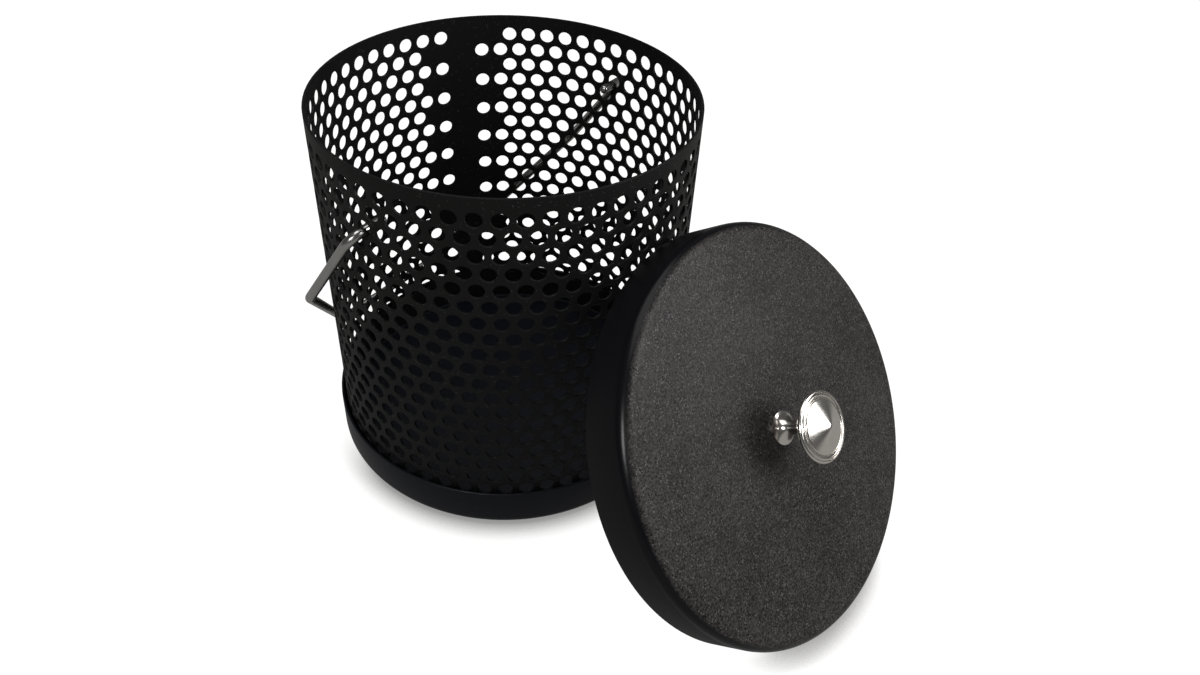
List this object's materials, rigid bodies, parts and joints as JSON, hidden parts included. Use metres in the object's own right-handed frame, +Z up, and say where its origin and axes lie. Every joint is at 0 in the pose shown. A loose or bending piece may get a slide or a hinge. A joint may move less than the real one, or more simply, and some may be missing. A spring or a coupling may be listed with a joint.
{
  "type": "stovetop popcorn popper",
  "caption": "Perforated drum popper with a shallow base pan, a swinging bail handle and a leaning lift-off lid with a turned knob.",
  "frame": {"origin": "centre of the base pan's underside", "axes": "+Z up along the drum's axis, +X along the bail's pivots, the bail hanging on the +Y side and the lid leaning on the -Y side"},
  "size_m": [0.2234, 0.3435, 0.2109],
  "materials": {
    "pan_coat": "smooth satin black coating on steel",
    "drum_coat": "black coating on perforated steel",
    "bail_steel": "brushed",
    "lid_coat": "speckled charcoal enamel on steel",
    "knob_nickel": "satin nickel plate",
    "screw_steel": "zinc plated"
  },
  "bodies": {
    "popper": {"base_pan": "pan_coat", "perforated_drum": "drum_coat"},
    "bail": {"bail_handle": "bail_steel"},
    "lid": {"lid": "lid_coat", "lid_knob": "knob_nickel", "knob_screw": "screw_steel", "knob_washer": "screw_steel"}
  },
  "joints": [
    {"name": "bail_swing", "type": "hinge", "parent": "popper", "child": "bail", "pos_m": [0, 0.00088, 0.17887], "axis": [1, 0, 0], "range_deg": [0, 240]},
    {"name": "lid_lift", "type": "slide", "parent": "popper", "child": "lid", "axis": [-0.0516, -0.798, 0.6004], "range_m": [0, 0.1]}
  ]
}
